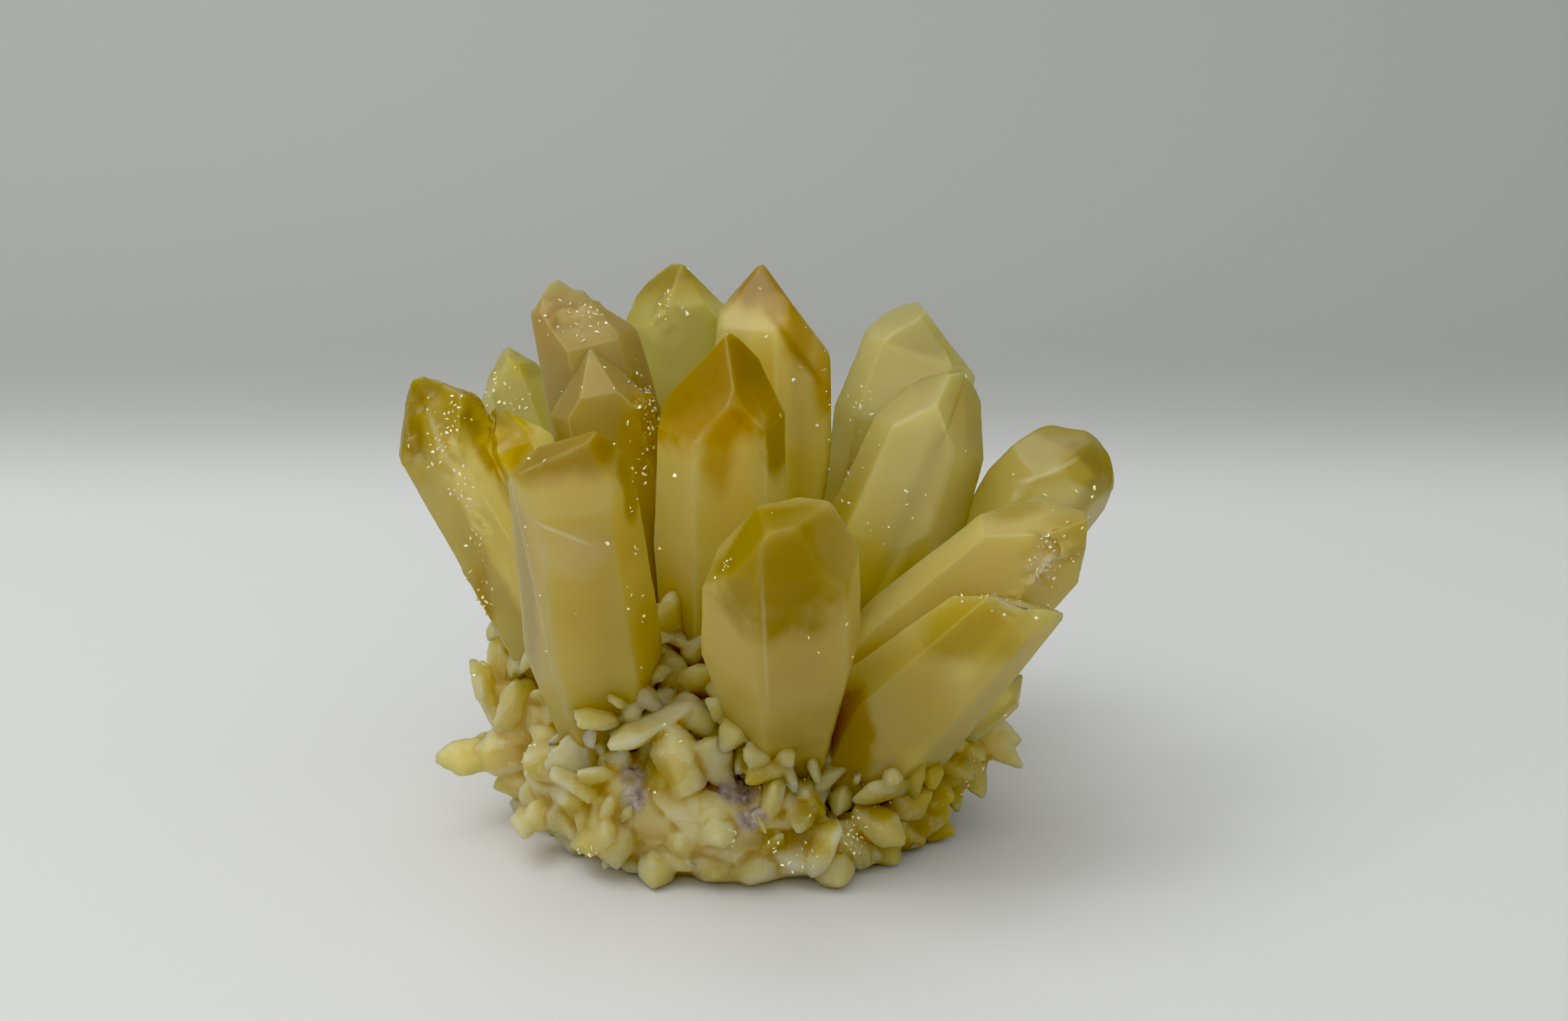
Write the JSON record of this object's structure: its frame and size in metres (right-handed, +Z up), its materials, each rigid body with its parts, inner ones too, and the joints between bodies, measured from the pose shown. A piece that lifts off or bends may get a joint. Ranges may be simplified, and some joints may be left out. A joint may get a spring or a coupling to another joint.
{
  "type": "citrine cluster",
  "caption": "Cluster of milky yellow quartz crystals that fan out of a low crystal-crusted base of rock, cut flat underneath so that it stands by itself.",
  "frame": {"origin": "on the flat that the cluster stands on, near its middle", "axes": "+Z up from the flat, -Y towards the front that the tall front crystals lean to, +X to the right seen from the front"},
  "size_m": [0.0881, 0.0816, 0.0695],
  "materials": {
    "matrix": "satin",
    "milky_quartz": "satin",
    "golden_quartz": "satin",
    "rose_quartz": "satin",
    "pale_quartz": "satin"
  },
  "bodies": {
    "root": {"matrix": "matrix", "crystal_front_left": "milky_quartz", "crystal_front_centre": "milky_quartz", "crystal_front_right": "milky_quartz", "crystal_centre": "golden_quartz", "crystal_centre_back": "golden_quartz", "crystal_left": "golden_quartz", "crystal_back_left": "rose_quartz", "crystal_rear_left": "pale_quartz", "crystal_rear_far_left": "pale_quartz", "crystal_right": "pale_quartz", "crystal_right_low": "milky_quartz", "crystal_rear": "pale_quartz", "crystal_rear_right": "pale_quartz"}
  },
  "joints": []
}
